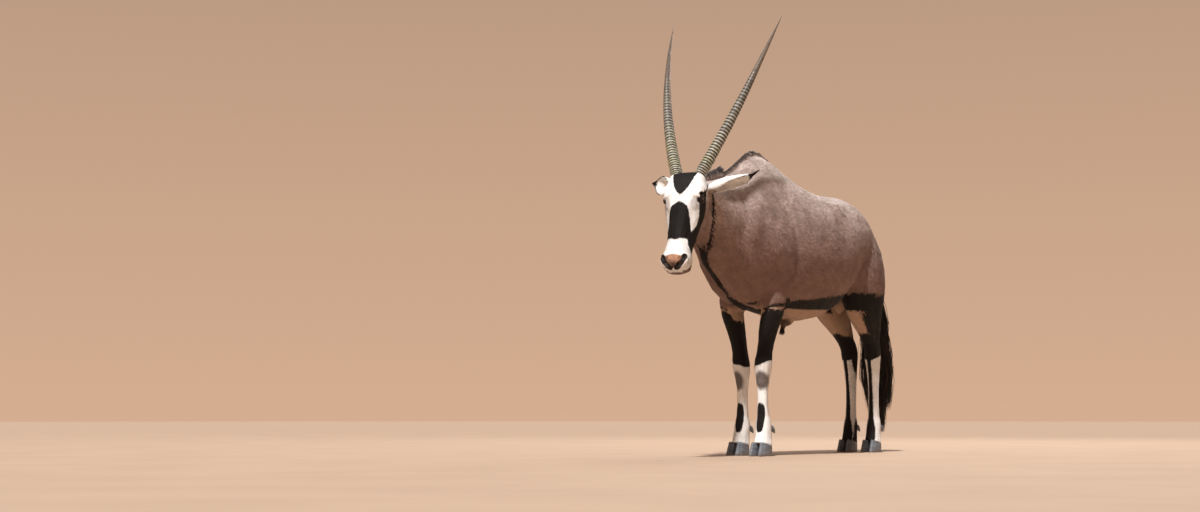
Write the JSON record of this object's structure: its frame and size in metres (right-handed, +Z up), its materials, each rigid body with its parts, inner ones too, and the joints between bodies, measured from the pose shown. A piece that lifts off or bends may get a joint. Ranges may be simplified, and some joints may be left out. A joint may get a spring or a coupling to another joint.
{
  "type": "gemsbok",
  "caption": "Life-size still model of a gemsbok bull standing at rest, head turned a little, with long ringed horns and a tasselled tail",
  "frame": {"origin": "on the ground, under the middle of the animal's outline as seen from above", "axes": "+Z is up, the animal faces -Y and its left side is +X"},
  "size_m": [0.5346, 1.8004, 1.7268],
  "materials": {
    "coat": "short sleek hair, greyish fawn, with black bands",
    "face_coat": "short hair, white with black patches",
    "dark_coat": "short hair, blackish",
    "stocking_coat": "short hair, white with black marks",
    "tail_hair": "long coarse hair, black",
    "horn": "satin, ringed below and smooth above",
    "hoof": "satin, finely ridged",
    "eye": "wet gloss"
  },
  "bodies": {
    "root": {"ear_left": "face_coat", "ear_right": "face_coat", "eye_left": "eye", "eye_right": "eye", "foreleg_left_dewclaw_inner": "hoof", "foreleg_left_dewclaw_outer": "hoof", "foreleg_left_foot": "stocking_coat", "foreleg_left_hoof_inner": "hoof", "foreleg_left_hoof_outer": "hoof", "foreleg_left_lower": "stocking_coat", "foreleg_left_upper": "dark_coat", "foreleg_right_dewclaw_inner": "hoof", "foreleg_right_dewclaw_outer": "hoof", "foreleg_right_foot": "stocking_coat", "foreleg_right_hoof_inner": "hoof", "foreleg_right_hoof_outer": "hoof", "foreleg_right_lower": "stocking_coat", "foreleg_right_upper": "dark_coat", "head": "face_coat", "hindleg_left_dewclaw_inner": "hoof", "hindleg_left_dewclaw_outer": "hoof", "hindleg_left_foot": "stocking_coat", "hindleg_left_hoof_inner": "hoof", "hindleg_left_hoof_outer": "hoof", "hindleg_left_lower": "stocking_coat", "hindleg_left_upper": "dark_coat", "hindleg_right_dewclaw_inner": "hoof", "hindleg_right_dewclaw_outer": "hoof", "hindleg_right_foot": "stocking_coat", "hindleg_right_hoof_inner": "hoof", "hindleg_right_hoof_outer": "hoof", "hindleg_right_lower": "stocking_coat", "hindleg_right_upper": "dark_coat", "horn_left": "horn", "horn_right": "horn", "neck": "coat", "shoulders": "coat", "tail_dock": "coat", "tail_tassel": "tail_hair", "torso": "coat"}
  },
  "joints": []
}
